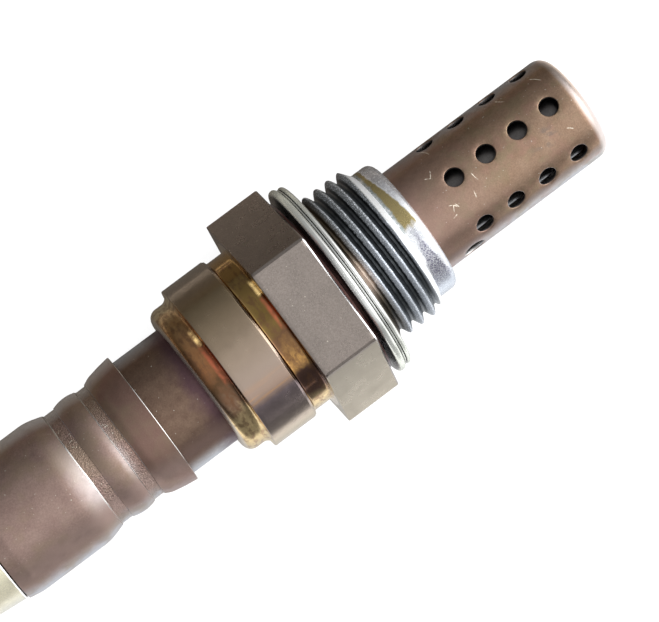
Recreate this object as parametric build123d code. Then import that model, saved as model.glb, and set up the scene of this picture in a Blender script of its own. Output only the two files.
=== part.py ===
from build123d import *
from math import hypot
import os

# A heated zirconia oxygen sensor, turned and pressed about one axis. Millimetres.
# +X points along the axis to the perforated tip and x = 0 is the sealing face of the gasket.
# +Z is the normal of one flat of the hexagon. Radii are measured from the X axis.

# Threaded front of the housing
thread_radius = 9.0          # M18 x 1.5, over the crests
thread_length = 6.65         # sealing face to collar
thread_chamfer = 0.6
relief_depth = 0.65          # groove behind the thread that keeps the gasket on
collar_step = 1.13           # crest down to the plain collar
collar_length = 2.75
collar_rounding = 1.3
collar_wall = 0.87
front_lip = 0.8              # collar edge rolled in over the cover flanges

# Crush gasket, folded from strip into three layers
gasket_sheet = 0.43
gasket_gap = 0.28
gasket_overlap = 0.3         # how far its inner fold reaches under the thread crest
gasket_front_width = 2.57
gasket_rear_width = 2.94
gasket_inner_step = 0.25
fold_flat = 0.014            # straight length left between the two bends of a fold

# Hexagon
hex_width = 22.0             # across flats
hex_corner_radius = 12.6
hex_length = 6.5
washer_face_height = 0.35
washer_face_inset = 0.4

# Rear of the housing, rolled in over the tube's flange
neck_length = 2.4
neck_wall = 1.6
band_length = 5.35
band_wall = 2.1
band_chamfer = 0.3
rolled_length = 2.75
rolled_wall = 1.02
rolled_lip = 1.3
rolled_rounding = 1.35

# Bores of the housing
gas_bore_radius = 4.8
ledge_x = -1.6               # front edge of the tapered ledge
ledge_slope = 0.6            # drop along X for each millimetre of radius
collar_bore_radius = 6.2
rear_bore_length = 6.7

# Perforated covers
cover_flange_width = 0.845
outer_cover_sheet = 0.4
outer_cover_length = 21.2    # collar's front face to the closed end
outer_cover_rounding = 1.5
inner_cover_sheet = 0.35
cover_gap = 1.255            # between the two tubes
cover_end_gap = 1.3          # between the two closed ends
inner_cover_rounding = 1.2
hole_radius = 1.05
hole_rings = 4
holes_per_ring = 6
first_ring_gap = 5.2         # collar's front face to the first ring of holes
ring_pitch = 4.1
row_turn = -16.8             # the first row's turn about X from +Z
drain_hole_radius = 1.3
drain_hole_gap = 3.1
inner_hole_radius = 0.8

# Zirconia thimble and its rod heater
tip_radius = 2.4
root_radius = 3.3
thimble_end_gap = 1.6        # closed end to the inner cover
thimble_wall_tip = 1.2
thimble_bore_radius = 1.75
thimble_collar_radius = 5.9
thimble_collar_length = 4.6
thimble_collar_taper = 1.0
stem_radius = 4.0
stem_stand_out = 1.6         # open end behind the crimp ring
heater_radius = 1.35
nose_roundness = 0.9         # rounding of the closed ends over their radius
heater_end_gap = 0.3
heater_pocket_depth = 3.4    # how far it reaches into the terminal insulator

# Packing round the thimble
washer_thickness = 0.4
washer_edge_gap = 0.2
talc_length = 3.0
bore_gap = 0.05              # running gap of what slides in the housing
stem_gap = 0.1
press_room = 0.5             # travel left under the pressure sleeve's shoulder
crimp_ring_thickness = 1.0
crimp_ring_width = 1.1

# Dark tube on the air side
air_tube_radius = 7.1
air_tube_sheet = 0.5
air_flange_width = 0.75
air_shoulder_length = 1.3
air_shoulder_drop = 0.97
air_neck_stand_out = 2.0     # neck's end behind the second groove
vent_hole_radius = 0.6
vent_holes = 6

# Outer sleeve with two rolled grooves over the breather filter
sleeve_sheet = 0.3
filter_thickness = 0.5
filter_overhang = 0.25
tube_exposed = 5.8           # dark tube between the housing and the sleeve's lip
lip_overlap = 1.6            # lip's edge to the tube's shoulder
lip_gap = 0.36
lip_taper_length = 2.8
lip_taper = 0.36
groove_ramp = 0.95
groove_width = 1.35
bulge_height = 0.21
bulge_width = 2.75
shoulder_length = 2.4
shoulder_rise = 0.65
barrel_length = 8.4
barrel_front_rounding = 2.5
barrel_rear_rounding = 3.0
sleeve_edge_length = 1.7
sleeve_edge_drop = 0.28

# Bright rear sleeve that grips the grommet
rear_sheet = 0.35
rear_fit_gap = 0.03
rear_spigot_length = 7.0
rear_taper_length = 3.1
rear_taper = 0.15
rear_crimp_ramp = 2.0
rear_crimp_depth = 0.6
rear_crimp_width = 1.6
rear_end_length = 3.2
rear_rounding = 1.0

# Rubber grommet and its lead holes
grommet_front_length = 2.2
grommet_stand_out = 1.5
grommet_chamfer = 0.5
lead_hole_radius = 1.2

# Terminal insulator and the pieces it holds
insulator_gap = 0.3
insulator_wall = 1.3
insulator_cavity_depth = 7.6
insulator_neck_inset = 1.0   # its rear end inside the tube's neck
heater_pocket_gap = 0.3
heater_pocket_end_gap = 0.6
passage_radius = 1.0
passage_ring_radius = 3.7
spring_room = 0.5            # insulator's shoulder to the tube's, along the axis
spring_sheet = 0.3
spring_edge_gap = 0.1
strip_width = 1.1
strip_sheet = 0.25
strip_reach = 2.4            # into the lead terminals
contact_length = 5.0
contact_washer_radius = 2.6
ground_ring_length = 1.6
ground_ring_gap = 0.3        # from the insulator's mouth to the ring
heater_clip_length = 2.2
terminal_gap = 0.05
terminal_sheet = 0.2
terminal_depth = 4.6         # behind the insulator's cavity
terminal_length = 10.0
terminal_grip = 0.01         # from the strip's corners to the front crimp
terminal_mouth = 0.8
terminal_crimp_ramp = 0.4
terminal_crimp_length = 1.2
lead_crimp_radius = 0.8
lead_crimp_stand_out = 1.4   # behind the insulator
lead_crimp_length = 1.0

small_rounding = 0.4
lead_count = 4
first_lead_turn = 45.0

# Places and radii that follow
gasket_height = 3 * gasket_sheet + 2 * gasket_gap
washer_face_x = -gasket_height
hex_front_x = washer_face_x - washer_face_height
hex_middle_x = hex_front_x - hex_length / 2
hex_rear_x = hex_front_x - hex_length
band_front_x = hex_rear_x - neck_length
band_rear_x = band_front_x - band_length
housing_rear_x = band_rear_x - rolled_length
rolled_lip_x = housing_rear_x + rolled_lip
collar_front_x = thread_length + collar_length

relief_radius = thread_radius - relief_depth
washer_face_radius = hex_width / 2 - washer_face_inset
collar_radius = thread_radius - collar_step
cover_flange_radius = collar_radius - collar_wall
outer_cover_radius = cover_flange_radius - cover_flange_width
inner_cover_radius = outer_cover_radius - outer_cover_sheet - cover_gap
outer_flange_x = collar_front_x - front_lip
inner_flange_x = outer_flange_x - outer_cover_sheet
flange_seat_x = inner_flange_x - inner_cover_sheet
outer_cover_end = collar_front_x + outer_cover_length
inner_cover_end = outer_cover_end - outer_cover_sheet - cover_end_gap
first_ring_x = collar_front_x + first_ring_gap
drain_hole_x = collar_front_x + drain_hole_gap

air_flange_radius = air_tube_radius + air_flange_width
rear_bore_radius = air_flange_radius + bore_gap
neck_radius = rear_bore_radius + neck_wall
band_radius = rear_bore_radius + band_wall
rolled_radius = rear_bore_radius + rolled_wall
rear_bore_x = rolled_lip_x + rear_bore_length

thimble_tip_x = inner_cover_end - inner_cover_sheet - thimble_end_gap
thimble_bore_end_x = thimble_tip_x - thimble_wall_tip

lip_x = housing_rear_x - tube_exposed
lip_radius = air_tube_radius + lip_gap + sleeve_sheet
air_shoulder_x = lip_x - lip_overlap
air_neck_radius = air_tube_radius - air_shoulder_drop
groove_radius = air_neck_radius + filter_thickness + sleeve_sheet
groove_1_x = lip_x - lip_taper_length - groove_ramp
groove_2_x = groove_1_x - groove_width - bulge_width
air_neck_end_x = groove_2_x - groove_width - air_neck_stand_out
barrel_radius = groove_radius + shoulder_rise
barrel_front_x = groove_2_x - groove_width - shoulder_length
barrel_end_x = barrel_front_x - barrel_length
sleeve_edge_x = barrel_end_x - sleeve_edge_length

rear_spigot_radius = barrel_radius - sleeve_sheet - rear_fit_gap
rear_edge_radius = rear_spigot_radius - sleeve_edge_drop
rear_end_radius = rear_edge_radius - rear_taper
rear_crimp_radius = rear_end_radius - rear_crimp_depth
rear_taper_x = sleeve_edge_x - rear_taper_length
rear_crimp_x = rear_taper_x - rear_crimp_ramp
rear_flare_x = rear_crimp_x - rear_crimp_width - rear_crimp_ramp
rear_end_x = rear_flare_x - rear_end_length

air_bore_radius = air_tube_radius - air_tube_sheet
air_neck_bore_radius = air_neck_radius - air_tube_sheet
insulator_radius = air_bore_radius - insulator_gap
insulator_neck_radius = air_neck_bore_radius - insulator_gap
insulator_cavity_radius = insulator_radius - insulator_wall
crimp_ring_front_x = rolled_lip_x + air_tube_sheet + crimp_ring_thickness
stem_end_x = crimp_ring_front_x - crimp_ring_thickness - stem_stand_out
insulator_cavity_end_x = crimp_ring_front_x - insulator_cavity_depth
insulator_shoulder_x = air_shoulder_x + spring_room
insulator_rear_x = air_neck_end_x + insulator_neck_inset
heater_rear_x = insulator_cavity_end_x - heater_pocket_depth
terminal_front_x = insulator_cavity_end_x - terminal_depth
strip_end_x = terminal_front_x - strip_reach
lead_crimp_x = insulator_rear_x - lead_crimp_stand_out
contact_radius = thimble_bore_radius - strip_sheet
strip_outer_radius = passage_ring_radius + strip_sheet / 2
terminal_radius = passage_radius - terminal_gap
terminal_crimp_radius = hypot(strip_width, strip_sheet) / 2 + terminal_grip + terminal_sheet
signal_turn, heater_turn_1, ground_turn, heater_turn_2 = (
    first_lead_turn + 360 * lead / lead_count for lead in range(lead_count)
)


def turned(*outline):
    """A solid turned about X from (x, radius) corners, or (x, radius, rounding) ones."""
    corners = [corner[:2] for corner in outline]
    roundings = [corner[2] if len(corner) == 3 else 0 for corner in outline]
    return revolve(make_face(FilletPolyline(*corners, radius=roundings, close=True)), Axis.X)


def pressed(sheet, *outline):
    """A round piece pressed from sheet: its outer line from front to rear, thickened inwards."""
    corners = [corner[:2] for corner in outline]
    roundings = [corner[2] if len(corner) == 3 else 0 for corner in outline[1:-1]]
    line = Wire(FilletPolyline(*corners, radius=roundings).edges())
    section = line.offset_2d(sheet, kind=Kind.INTERSECTION, side=Side.LEFT, closed=True)
    return revolve(Face(section), Axis.X)


def ledge(radius, thickness=0.0):
    """Where the tapered ledge, or what lies on it at a thickness, is at a radius."""
    return ledge_x - (radius - gas_bore_radius) * ledge_slope - thickness


talc_front_x = ledge(thimble_collar_radius, washer_thickness) - thimble_collar_length
talc_rear_x = talc_front_x - thimble_collar_taper - talc_length


def air_shoulder(radius):
    """Where the inside of the air tube's shoulder is at a radius."""
    drop = air_tube_radius - air_neck_radius
    sloped_sheet = air_tube_sheet * hypot(drop, air_shoulder_length) / air_shoulder_length
    return air_shoulder_x - (air_tube_radius - sloped_sheet - radius) * air_shoulder_length / drop


def radial_holes(radius, reach, x, count, turn):
    """Drills that stand round the axis at x, from inside it out to the reach."""
    drill = Pos(x, 0, reach / 2) * Cylinder(radius, reach)
    return [Rot(X=turn + 360 * index / count) * drill for index in range(count)]


def make_housing():
    """The turned shell: collar, thread, hexagon, neck, band and rolled end, with its bores."""
    shell = turned(
        (collar_front_x, outer_cover_radius),
        (collar_front_x, collar_radius, collar_rounding),
        (thread_length, collar_radius),
        (thread_length, thread_radius - thread_chamfer),
        (thread_length - thread_chamfer, thread_radius),
        (0, thread_radius),
        (0, relief_radius),
        (hex_middle_x, relief_radius),
        (hex_middle_x, neck_radius),
        (band_front_x, neck_radius),
        (band_front_x - band_chamfer, band_radius),
        (band_rear_x, band_radius),
        (band_rear_x, rolled_radius),
        (housing_rear_x, rolled_radius, rolled_rounding),
        (housing_rear_x, air_tube_radius),
        (rolled_lip_x, air_tube_radius),
        (rolled_lip_x, rear_bore_radius),
        (rear_bore_x, rear_bore_radius),
        (rear_bore_x, collar_bore_radius),
        (ledge(collar_bore_radius), collar_bore_radius),
        (ledge(gas_bore_radius), gas_bore_radius),
        (flange_seat_x, gas_bore_radius),
        (flange_seat_x, cover_flange_radius),
        (outer_flange_x, cover_flange_radius),
        (outer_flange_x, outer_cover_radius),
    )
    bar = Pos(hex_rear_x, 0, 0) * Rot(Y=90) * extrude(
        RegularPolygon(hex_width / 2, 6, major_radius=False, rotation=30), hex_length
    )
    bar &= Pos(hex_rear_x, 0, 0) * Rot(Y=90) * Cylinder(
        hex_corner_radius, hex_length, align=(Align.CENTER, Align.CENTER, Align.MIN)
    )
    bore = Pos(hex_middle_x, 0, 0) * Rot(Y=90) * Cylinder(rear_bore_radius, 2 * hex_length)
    washer_face = turned(
        (washer_face_x, rear_bore_radius),
        (washer_face_x, washer_face_radius),
        (hex_middle_x, washer_face_radius),
        (hex_middle_x, rear_bore_radius),
    )
    return shell + (bar - bore) + washer_face


def make_gasket():
    """The crush ring: one strip folded into three layers, its flat face at x = 0."""
    pitch = gasket_sheet + gasket_gap
    fold = (pitch - fold_flat) / 2
    half = gasket_sheet / 2
    inner = thread_radius - gasket_overlap + half
    outer = thread_radius - gasket_overlap + gasket_front_width - half
    rear = thread_radius - gasket_overlap + gasket_rear_width
    path = FilletPolyline(
        (-half, inner + gasket_inner_step),
        (-half, outer),
        (-half - pitch, outer),
        (-half - pitch, inner),
        (-half - 2 * pitch, inner),
        (-half - 2 * pitch, rear - half),
        radius=fold,
    )
    section = Wire(path.edges()).offset_2d(half, kind=Kind.ARC, side=Side.BOTH)
    return revolve(Face(section), Axis.X)


def make_outer_cover():
    """The brown perforated cup, its flange under the collar's rolled edge."""
    cup = pressed(
        outer_cover_sheet,
        (outer_cover_end, 0),
        (outer_cover_end, outer_cover_radius, outer_cover_rounding),
        (outer_flange_x, outer_cover_radius),
        (outer_flange_x, cover_flange_radius),
    )
    for ring in range(hole_rings):
        x = first_ring_x + ring * ring_pitch
        cup -= radial_holes(hole_radius, 2 * outer_cover_radius, x, holes_per_ring, row_turn)
    drain_turn = row_turn + 1.5 * 360 / holes_per_ring
    cup -= radial_holes(drain_hole_radius, 2 * outer_cover_radius, drain_hole_x, 2, drain_turn)
    return cup


def make_inner_cover():
    """The inner perforated cup. Its holes lie between the outer ones, so gas takes a bend."""
    cup = pressed(
        inner_cover_sheet,
        (inner_cover_end, 0),
        (inner_cover_end, inner_cover_radius, inner_cover_rounding),
        (inner_flange_x, inner_cover_radius),
        (inner_flange_x, cover_flange_radius),
    )
    half_turn = row_turn + 180 / holes_per_ring
    for ring in range(hole_rings - 1):
        x = first_ring_x + (ring + 0.5) * ring_pitch
        cup -= radial_holes(inner_hole_radius, 2 * inner_cover_radius, x, holes_per_ring, half_turn)
    return cup


def make_thimble():
    """The closed zirconia thimble with its tapered collar."""
    neck_x = ledge(root_radius, washer_thickness)
    collar_x = ledge(thimble_collar_radius, washer_thickness)
    collar_rear_x = collar_x - thimble_collar_length
    body = turned(
        (thimble_tip_x, 0),
        (thimble_tip_x, tip_radius, nose_roundness * tip_radius),
        (neck_x, root_radius, small_rounding),
        (collar_x, thimble_collar_radius, small_rounding),
        (collar_rear_x, thimble_collar_radius, small_rounding),
        (collar_rear_x - thimble_collar_taper, stem_radius),
        (stem_end_x, stem_radius),
        (stem_end_x, thimble_bore_radius),
        (thimble_bore_end_x, thimble_bore_radius, nose_roundness * thimble_bore_radius),
        (thimble_bore_end_x, 0),
    )
    return body


def make_heater():
    """The ceramic rod heater, its nose rounded to follow the thimble's bore."""
    nose_x = thimble_bore_end_x - heater_end_gap
    return turned(
        (nose_x, 0),
        (nose_x, heater_radius, nose_roundness * heater_radius),
        (heater_rear_x, heater_radius, small_rounding),
        (heater_rear_x, 0),
    )


def make_seat_washer():
    """The soft metal packing on the tapered ledge."""
    inner = gas_bore_radius + washer_edge_gap
    outer = collar_bore_radius - washer_edge_gap
    return turned(
        (ledge(inner), inner),
        (ledge(outer), outer),
        (ledge(outer, washer_thickness), outer),
        (ledge(inner, washer_thickness), inner),
    )


def make_talc():
    """The pressed powder that fills the bore above the thimble's collar."""
    return turned(
        (talc_front_x, thimble_collar_radius),
        (talc_front_x, collar_bore_radius),
        (talc_rear_x, collar_bore_radius),
        (talc_rear_x, stem_radius),
        (talc_front_x - thimble_collar_taper, stem_radius),
    )


def make_pressure_sleeve():
    """The stepped ceramic ring between the powder and the steel crimp ring."""
    return turned(
        (talc_rear_x, stem_radius + stem_gap),
        (talc_rear_x, collar_bore_radius - bore_gap),
        (rear_bore_x - press_room, collar_bore_radius - bore_gap),
        (rear_bore_x - press_room, rear_bore_radius - bore_gap),
        (crimp_ring_front_x, rear_bore_radius - bore_gap),
        (crimp_ring_front_x, stem_radius + stem_gap),
    )


def make_crimp_ring():
    """The steel ring that spreads the rolled end's load."""
    rear_x = crimp_ring_front_x - crimp_ring_thickness
    outer = rear_bore_radius - bore_gap
    return turned(
        (crimp_ring_front_x, outer - crimp_ring_width),
        (crimp_ring_front_x, outer),
        (rear_x, outer),
        (rear_x, outer - crimp_ring_width),
    )


def make_air_tube():
    """The dark tube: flange under the rolled end, shoulder, and vented neck."""
    tube = pressed(
        air_tube_sheet,
        (rolled_lip_x, air_flange_radius),
        (rolled_lip_x, air_tube_radius),
        (air_shoulder_x, air_tube_radius, 2 * small_rounding),
        (air_shoulder_x - air_shoulder_length, air_neck_radius, 2 * small_rounding),
        (air_neck_end_x, air_neck_radius),
    )
    vent_x = groove_1_x - groove_width - bulge_width / 2
    return tube - radial_holes(vent_hole_radius, 2 * air_neck_radius, vent_x, vent_holes, 0)


def make_filter():
    """The porous sleeve that the rolled grooves grip on the tube's neck."""
    return turned(
        (groove_1_x + filter_overhang, air_neck_radius),
        (groove_1_x + filter_overhang, air_neck_radius + filter_thickness),
        (groove_2_x - groove_width - filter_overhang, air_neck_radius + filter_thickness),
        (groove_2_x - groove_width - filter_overhang, air_neck_radius),
    )


def make_outer_sleeve():
    """The brown sleeve: flared lip, two rolled grooves, shoulder, barrel and turned-in edge."""
    bulge_ramp = 0.25 * bulge_width
    return pressed(
        sleeve_sheet,
        (lip_x, lip_radius),
        (lip_x - lip_taper_length, lip_radius - lip_taper, small_rounding),
        (groove_1_x, groove_radius, small_rounding),
        (groove_1_x - groove_width, groove_radius, small_rounding),
        (groove_1_x - groove_width - bulge_ramp, groove_radius + bulge_height, small_rounding),
        (groove_2_x + bulge_ramp, groove_radius + bulge_height, small_rounding),
        (groove_2_x, groove_radius, small_rounding),
        (groove_2_x - groove_width, groove_radius, small_rounding),
        (barrel_front_x, barrel_radius, barrel_front_rounding),
        (barrel_end_x, barrel_radius, barrel_rear_rounding),
        (sleeve_edge_x, barrel_radius - sleeve_edge_drop),
    )


REAR_SLEEVE_LINE = (
    (barrel_end_x + rear_spigot_length, rear_spigot_radius),
    (barrel_end_x, rear_spigot_radius, barrel_rear_rounding),
    (sleeve_edge_x, rear_edge_radius, rear_rounding),
    (rear_taper_x, rear_end_radius, rear_rounding),
    (rear_crimp_x, rear_crimp_radius, rear_rounding),
    (rear_crimp_x - rear_crimp_width, rear_crimp_radius, rear_rounding),
    (rear_flare_x, rear_end_radius, rear_rounding),
    (rear_end_x, rear_end_radius),
)


def make_rear_sleeve():
    """The bright sleeve: a spigot in the barrel, then the crimp round the grommet."""
    return pressed(rear_sheet, *REAR_SLEEVE_LINE)


def lead_holes(radius, front_x, rear_x):
    """One round passage for each lead, from front to rear."""
    drill = Rot(Y=-90) * Cylinder(radius, front_x - rear_x, align=(Align.CENTER, Align.CENTER, Align.MIN))
    placed = Pos(front_x, 0, passage_ring_radius) * drill
    return [Rot(X=first_lead_turn + 360 * lead / lead_count) * placed for lead in range(lead_count)]


def make_grommet():
    """The rubber bush: it fills the rear sleeve, takes the crimp's waist and stands out behind."""
    front_x = rear_taper_x + grommet_front_length
    rear_x = rear_end_x - grommet_stand_out
    filled = turned((REAR_SLEEVE_LINE[0][0], 0), *REAR_SLEEVE_LINE, (rear_end_x, 0))
    inside = filled - make_rear_sleeve()
    reach = Pos((front_x + rear_end_x) / 2, 0, 0) * Rot(Y=90) * Cylinder(barrel_radius, front_x - rear_end_x)
    end_radius = rear_end_radius - rear_sheet
    end = turned(
        (rear_end_x, 0),
        (rear_end_x, end_radius),
        (rear_x + grommet_chamfer, end_radius),
        (rear_x, end_radius - grommet_chamfer),
        (rear_x, 0),
    )
    return (inside & reach) + end - lead_holes(lead_hole_radius, front_x, rear_x)


def make_terminal_insulator():
    """The ceramic block: cup over the thimble's open end, heater pocket and lead passages."""
    pocket_radius = heater_radius + heater_pocket_gap
    pocket_end_x = heater_rear_x - heater_pocket_end_gap
    block = turned(
        (crimp_ring_front_x, insulator_cavity_radius),
        (crimp_ring_front_x, insulator_radius),
        (insulator_shoulder_x, insulator_radius),
        (insulator_shoulder_x, insulator_neck_radius),
        (insulator_rear_x, insulator_neck_radius, small_rounding),
        (insulator_rear_x, 0),
        (pocket_end_x, 0),
        (pocket_end_x, pocket_radius),
        (insulator_cavity_end_x, pocket_radius),
        (insulator_cavity_end_x, insulator_cavity_radius),
    )
    return block - lead_holes(passage_radius, insulator_cavity_end_x, insulator_rear_x)


def make_insulator_spring():
    """The dished spring between the insulator's shoulder and the tube's."""
    inner = insulator_neck_radius + spring_edge_gap
    outer = insulator_radius - spring_edge_gap
    rear_x = air_shoulder(outer)
    return turned(
        (insulator_shoulder_x, inner),
        (rear_x + spring_sheet, outer),
        (rear_x, outer),
        (insulator_shoulder_x - spring_sheet, inner),
    )


def strip(turn, front_x):
    """The flat tail of a contact, along its passage in the insulator."""
    length = front_x - strip_end_x
    tail = Pos(front_x - length / 2, 0, passage_ring_radius) * Box(length, strip_width, strip_sheet)
    return Rot(X=turn) * tail


def leg(turn, front_x, inner, outer):
    """The radial leg between a contact's grip and its tail."""
    rise = outer - inner
    return Rot(X=turn) * Pos(front_x - strip_sheet / 2, 0, inner + rise / 2) * Box(
        strip_sheet, strip_width, rise
    )


def make_signal_contact():
    """The contact inside the thimble: a sleeve, a washer on the open end and its tail."""
    grip = turned(
        (stem_end_x + contact_length, contact_radius),
        (stem_end_x + contact_length, thimble_bore_radius),
        (stem_end_x, thimble_bore_radius),
        (stem_end_x, contact_washer_radius),
        (stem_end_x - strip_sheet, contact_washer_radius),
        (stem_end_x - strip_sheet, contact_radius),
    )
    tongue = leg(signal_turn, stem_end_x, contact_radius, strip_outer_radius)
    return grip + tongue + strip(signal_turn, stem_end_x)


def make_ground_contact():
    """The split ring round the thimble's stem, and its tail."""
    front_x = crimp_ring_front_x - ground_ring_gap
    rear_x = front_x - ground_ring_length
    bend_x = stem_end_x - ground_ring_gap
    ring_radius = stem_radius + strip_sheet
    ring = turned((front_x, stem_radius), (front_x, ring_radius), (rear_x, ring_radius), (rear_x, stem_radius))
    split = Rot(X=ground_turn + 180) * Pos(front_x, 0, stem_radius) * Box(
        3 * ground_ring_length, strip_width, 2 * strip_width
    )
    tab_length = front_x - bend_x + strip_sheet
    tab = Rot(X=ground_turn) * Pos(front_x - tab_length / 2, 0, stem_radius + strip_sheet / 2) * Box(
        tab_length, strip_width, strip_sheet
    )
    stem = turned((front_x, 0), (front_x, stem_radius), (stem_end_x, stem_radius), (stem_end_x, 0))
    joggle = leg(ground_turn, bend_x, passage_ring_radius - strip_sheet / 2, ring_radius)
    return (ring - split) + (tab - stem) + joggle + strip(ground_turn, bend_x)


def make_heater_contact(turn):
    """The clip on one pad of the heater rod, and its tail."""
    front_x = (stem_end_x + insulator_cavity_end_x + heater_clip_length) / 2
    rear_x = front_x - heater_clip_length
    clip_radius = heater_radius + strip_sheet
    ring = turned((front_x, heater_radius), (front_x, clip_radius), (rear_x, clip_radius), (rear_x, heater_radius))
    side = Rot(X=turn) * Pos(front_x, 0, heater_radius / 2 + clip_radius) * Box(
        3 * heater_clip_length, 3 * clip_radius, 2 * clip_radius
    )
    leg_x = (front_x + rear_x + strip_sheet) / 2
    spoke = leg(turn, leg_x, heater_radius + strip_sheet / 2, strip_outer_radius)
    return (ring & side) + spoke + strip(turn, leg_x)


def make_lead_terminal(turn):
    """The crimp barrel that joins a contact's tail to its lead."""
    crimp_x = terminal_front_x - terminal_mouth - terminal_crimp_ramp
    barrel = pressed(
        terminal_sheet,
        (terminal_front_x, terminal_radius),
        (terminal_front_x - terminal_mouth, terminal_radius),
        (crimp_x, terminal_crimp_radius),
        (crimp_x - terminal_crimp_length, terminal_crimp_radius),
        (crimp_x - terminal_crimp_length - terminal_crimp_ramp, terminal_radius),
        (lead_crimp_x + terminal_crimp_ramp, terminal_radius),
        (lead_crimp_x, lead_crimp_radius),
        (lead_crimp_x - lead_crimp_length, lead_crimp_radius),
        (lead_crimp_x - lead_crimp_length - terminal_crimp_ramp, terminal_radius),
        (terminal_front_x - terminal_length, terminal_radius),
    )
    return Rot(X=turn) * Pos(0, 0, passage_ring_radius) * barrel


PARTS = {
    "housing": make_housing(),
    "seal_gasket": make_gasket(),
    "outer_protection_cover": make_outer_cover(),
    "inner_protection_cover": make_inner_cover(),
    "sensing_element": make_thimble(),
    "heater_rod": make_heater(),
    "seat_washer": make_seat_washer(),
    "talc_seal": make_talc(),
    "pressure_sleeve": make_pressure_sleeve(),
    "crimp_ring": make_crimp_ring(),
    "air_side_tube": make_air_tube(),
    "breather_filter": make_filter(),
    "outer_sleeve": make_outer_sleeve(),
    "rear_sleeve": make_rear_sleeve(),
    "lead_grommet": make_grommet(),
    "terminal_insulator": make_terminal_insulator(),
    "insulator_spring": make_insulator_spring(),
    "signal_contact": make_signal_contact(),
    "ground_contact": make_ground_contact(),
    "heater_contact_1": make_heater_contact(heater_turn_1),
    "heater_contact_2": make_heater_contact(heater_turn_2),
}
for lead in range(lead_count):
    lead_turn = first_lead_turn + 360 * lead / lead_count
    PARTS[f"lead_terminal_{lead + 1}"] = make_lead_terminal(lead_turn)

os.makedirs("parts", exist_ok=True)
for name, solid in PARTS.items():
    export_step(solid, f"parts/{name}.step")
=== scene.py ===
"""A heated oxygen sensor lying on a white table: materials, fine shape, light and camera."""
import math

import bmesh
import bpy
import numpy as np
from mathutils import Matrix, Vector
from mathutils.geometry import delaunay_2d_cdt


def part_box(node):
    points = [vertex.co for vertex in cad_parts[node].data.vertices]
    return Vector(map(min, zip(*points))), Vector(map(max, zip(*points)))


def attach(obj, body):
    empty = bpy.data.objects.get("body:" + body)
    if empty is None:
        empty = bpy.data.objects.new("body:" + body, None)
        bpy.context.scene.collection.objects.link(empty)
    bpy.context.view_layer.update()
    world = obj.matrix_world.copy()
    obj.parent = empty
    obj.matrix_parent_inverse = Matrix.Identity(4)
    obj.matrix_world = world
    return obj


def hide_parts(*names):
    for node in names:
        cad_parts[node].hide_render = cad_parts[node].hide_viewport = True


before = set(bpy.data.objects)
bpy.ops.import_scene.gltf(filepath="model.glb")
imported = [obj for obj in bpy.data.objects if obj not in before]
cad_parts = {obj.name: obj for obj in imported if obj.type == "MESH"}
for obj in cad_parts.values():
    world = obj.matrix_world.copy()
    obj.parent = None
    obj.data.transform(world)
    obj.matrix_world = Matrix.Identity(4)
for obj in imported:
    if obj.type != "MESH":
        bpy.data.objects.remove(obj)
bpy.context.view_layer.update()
MM = 0.001


def ends(node):
    """Where a CAD piece ends along the axis, its rear and its front, in millimetres."""
    return [round(corner.x / MM, 3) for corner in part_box(node)]


# Where the CAD pieces end and half the hexagon's width, in millimetres, from the frame
HOUSING_REAR_X = ends("housing")[0]
HEX_FLAT_R = round(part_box("housing")[1].z / MM, 3)
WASHER_FACE_X = ends("seal_gasket")[0]
FLANGE_SEAT_X = ends("inner_protection_cover")[0]
FLANGE_REAR_X, COVER_END_X = ends("outer_protection_cover")
AIR_NECK_END_X = ends("air_side_tube")[0]
REAR_SLEEVE_END_X, REAR_SLEEVE_FRONT_X = ends("rear_sleeve")

# Other sizes and places of the CAD model, in millimetres; only COLLAR_X differs, which is 9.4 there
COLLAR_X, COLLAR_REAR_X, COLLAR_R = 9.1, 6.65, 7.87
THREAD_R, RELIEF_R = 9.0, 8.35
WASHER_FACE_R, HEX_FRONT_X, HEX_REAR_X, HEX_CORNER_R = 10.6, -2.2, -8.7, 12.6
NECK_R, BAND_FRONT_X, BAND_R, BAND_REAR_X = 9.5, -11.1, 10.0, -16.45
ROLLED_R, ROLLED_LIP_X, TUBE_R = 8.92, -17.9, 7.1
REAR_BORE_R, REAR_BORE_X = 7.9, -11.2
COLLAR_BORE_R, GAS_BORE_R, LEDGE_X, LEDGE_REAR_X = 6.2, 4.8, -1.6, -2.44
FLANGE_X, FLANGE_R = 8.6, 7.0
COVER_R, COVER_SHEET, COVER_ROUNDING = 6.155, 0.4, 1.5
HOLE_R, RING_X, RING_PITCH, RINGS, HOLES_PER_RING, ROW_TURN = 1.05, 14.6, 4.1, 4, 6, -16.8
DRAIN_R, DRAIN_X = 1.3, 12.5
AIR_FLANGE_R, AIR_SHEET, AIR_SHOULDER_X, AIR_NECK_X = 7.85, 0.5, -26.6, -27.9
AIR_NECK_R = 6.13

# Fine shape that only this scene has
THREAD_PITCH, THREAD_DEPTH, THREAD_PHASE, CREST_HALF, FLANK_WIDTH = 1.5, 0.92, 0.55, 0.08, 0.56
HEX_BEVEL = 0.16
HOLE_SIDES, DENT_DEPTH, DENT_WIDTH = 40, 0.05, 0.5


# Shapes

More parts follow.
